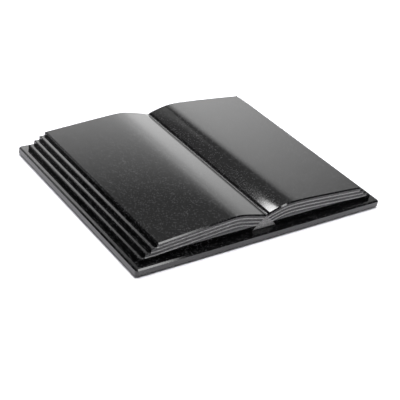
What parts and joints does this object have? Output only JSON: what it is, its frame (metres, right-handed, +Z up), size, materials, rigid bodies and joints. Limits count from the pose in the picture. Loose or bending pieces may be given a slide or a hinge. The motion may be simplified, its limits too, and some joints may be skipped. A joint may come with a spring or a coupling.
{
  "type": "granite book memorial",
  "caption": "Open stone book memorial with curved pages, stepped fore edges and a spine wedge, bedded flat on a thin base slab.",
  "frame": {"origin": "on the ground under the middle of the base slab", "axes": "+X across the two pages to the reader's right, +Y from the foot of the page to its head, +Z up"},
  "size_m": [0.4, 0.307, 0.0433],
  "materials": {
    "slab_granite": "polished near-black granite with a fine grey speckle, edges eased and polished",
    "book_granite": "polished near-black granite pages and steps, honed dark grey head and tail with light incised lines, raw light grey spine wedge"
  },
  "bodies": {
    "root": {"base_slab": "slab_granite", "book_block": "book_granite"}
  },
  "joints": []
}
